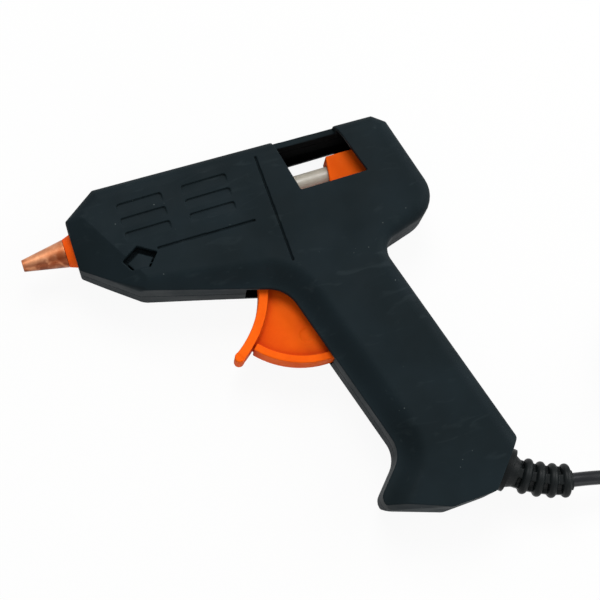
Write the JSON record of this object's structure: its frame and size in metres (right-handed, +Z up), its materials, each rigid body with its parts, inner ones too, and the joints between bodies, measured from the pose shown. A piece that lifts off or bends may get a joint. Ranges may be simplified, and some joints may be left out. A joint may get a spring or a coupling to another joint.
{
  "type": "hot glue applicator",
  "caption": "Mini hot-melt glue gun lying on its side: dark two-shell pistol casing with viewing window, copper nozzle, orange trigger and feed carriage, coiled mains lead and plug.",
  "frame": {"origin": "on the table plane, under the barrel axis at the panel seam of the right side face", "axes": "+X back along the barrel away from the nozzle, +Y the gun's own up, +Z up from the table, across the casing's thickness"},
  "size_m": [0.2842, 0.1623, 0.027],
  "materials": {
    "casing_plastic": "satin",
    "copper_alloy": "machined",
    "collar_silicone": "satin",
    "cast_aluminium": "cast",
    "heater_ceramic": "matte",
    "plated_steel": "satin",
    "polyimide_film": "gloss",
    "sleeve_silicone": "satin",
    "glue": "satin",
    "orange_plastic": "satin",
    "clamp_plastic": "matte",
    "relief_rubber": "satin",
    "cord_sheath": "satin",
    "wire_insulation": "gloss",
    "tie_plastic": "matte",
    "plug_plastic": "satin",
    "pin_brass": "polished"
  },
  "bodies": {
    "casing": {"left_shell": "casing_plastic", "right_shell": "casing_plastic", "nozzle": "copper_alloy", "nozzle_collar": "collar_silicone", "melt_chamber": "cast_aluminium", "ptc_heater": "heater_ceramic", "heater_electrodes": "plated_steel", "heater_film": "polyimide_film", "inlet_sleeve": "sleeve_silicone", "sleeve_clip": "plated_steel", "return_spring": "plated_steel", "housing_screws": "plated_steel", "cord_clamp": "clamp_plastic", "clamp_screws": "plated_steel", "strain_relief": "relief_rubber", "inner_cord": "cord_sheath", "lead_wires": "wire_insulation", "wire_crimps": "plated_steel", "power_cord": "cord_sheath", "cord_coil": "cord_sheath", "cord_tie": "tie_plastic", "plug_lead": "cord_sheath", "plug_body": "plug_plastic", "plug_pins": "pin_brass"},
    "trigger": {"trigger": "orange_plastic"},
    "carriage": {"feed_carriage": "orange_plastic", "grip_washer": "plated_steel"},
    "stick": {"glue_stick": "glue"}
  },
  "joints": [
    {"name": "trigger_swing", "type": "hinge", "parent": "casing", "child": "trigger", "pos_m": [0.001, -0.031, 0.0135], "axis": [0, 0, 1], "range_deg": [0, 22], "stiffness_Nm_per_rad": 0.06, "springref_deg": -20.05},
    {"name": "carriage_slide", "type": "slide", "parent": "casing", "child": "carriage", "axis": [-1, 0, 0], "range_m": [0, 0.0083], "deforming": ["return_spring"]},
    {"name": "stick_feed", "type": "slide", "parent": "casing", "child": "stick", "axis": [-1, 0, 0], "range_m": [0, 0.0083]}
  ],
  "couplings": [
    {"joint": "carriage_slide", "follows": "trigger_swing", "m_per_rad": 0.021289},
    {"joint": "stick_feed", "follows": "trigger_swing", "m_per_rad": 0.021289}
  ]
}
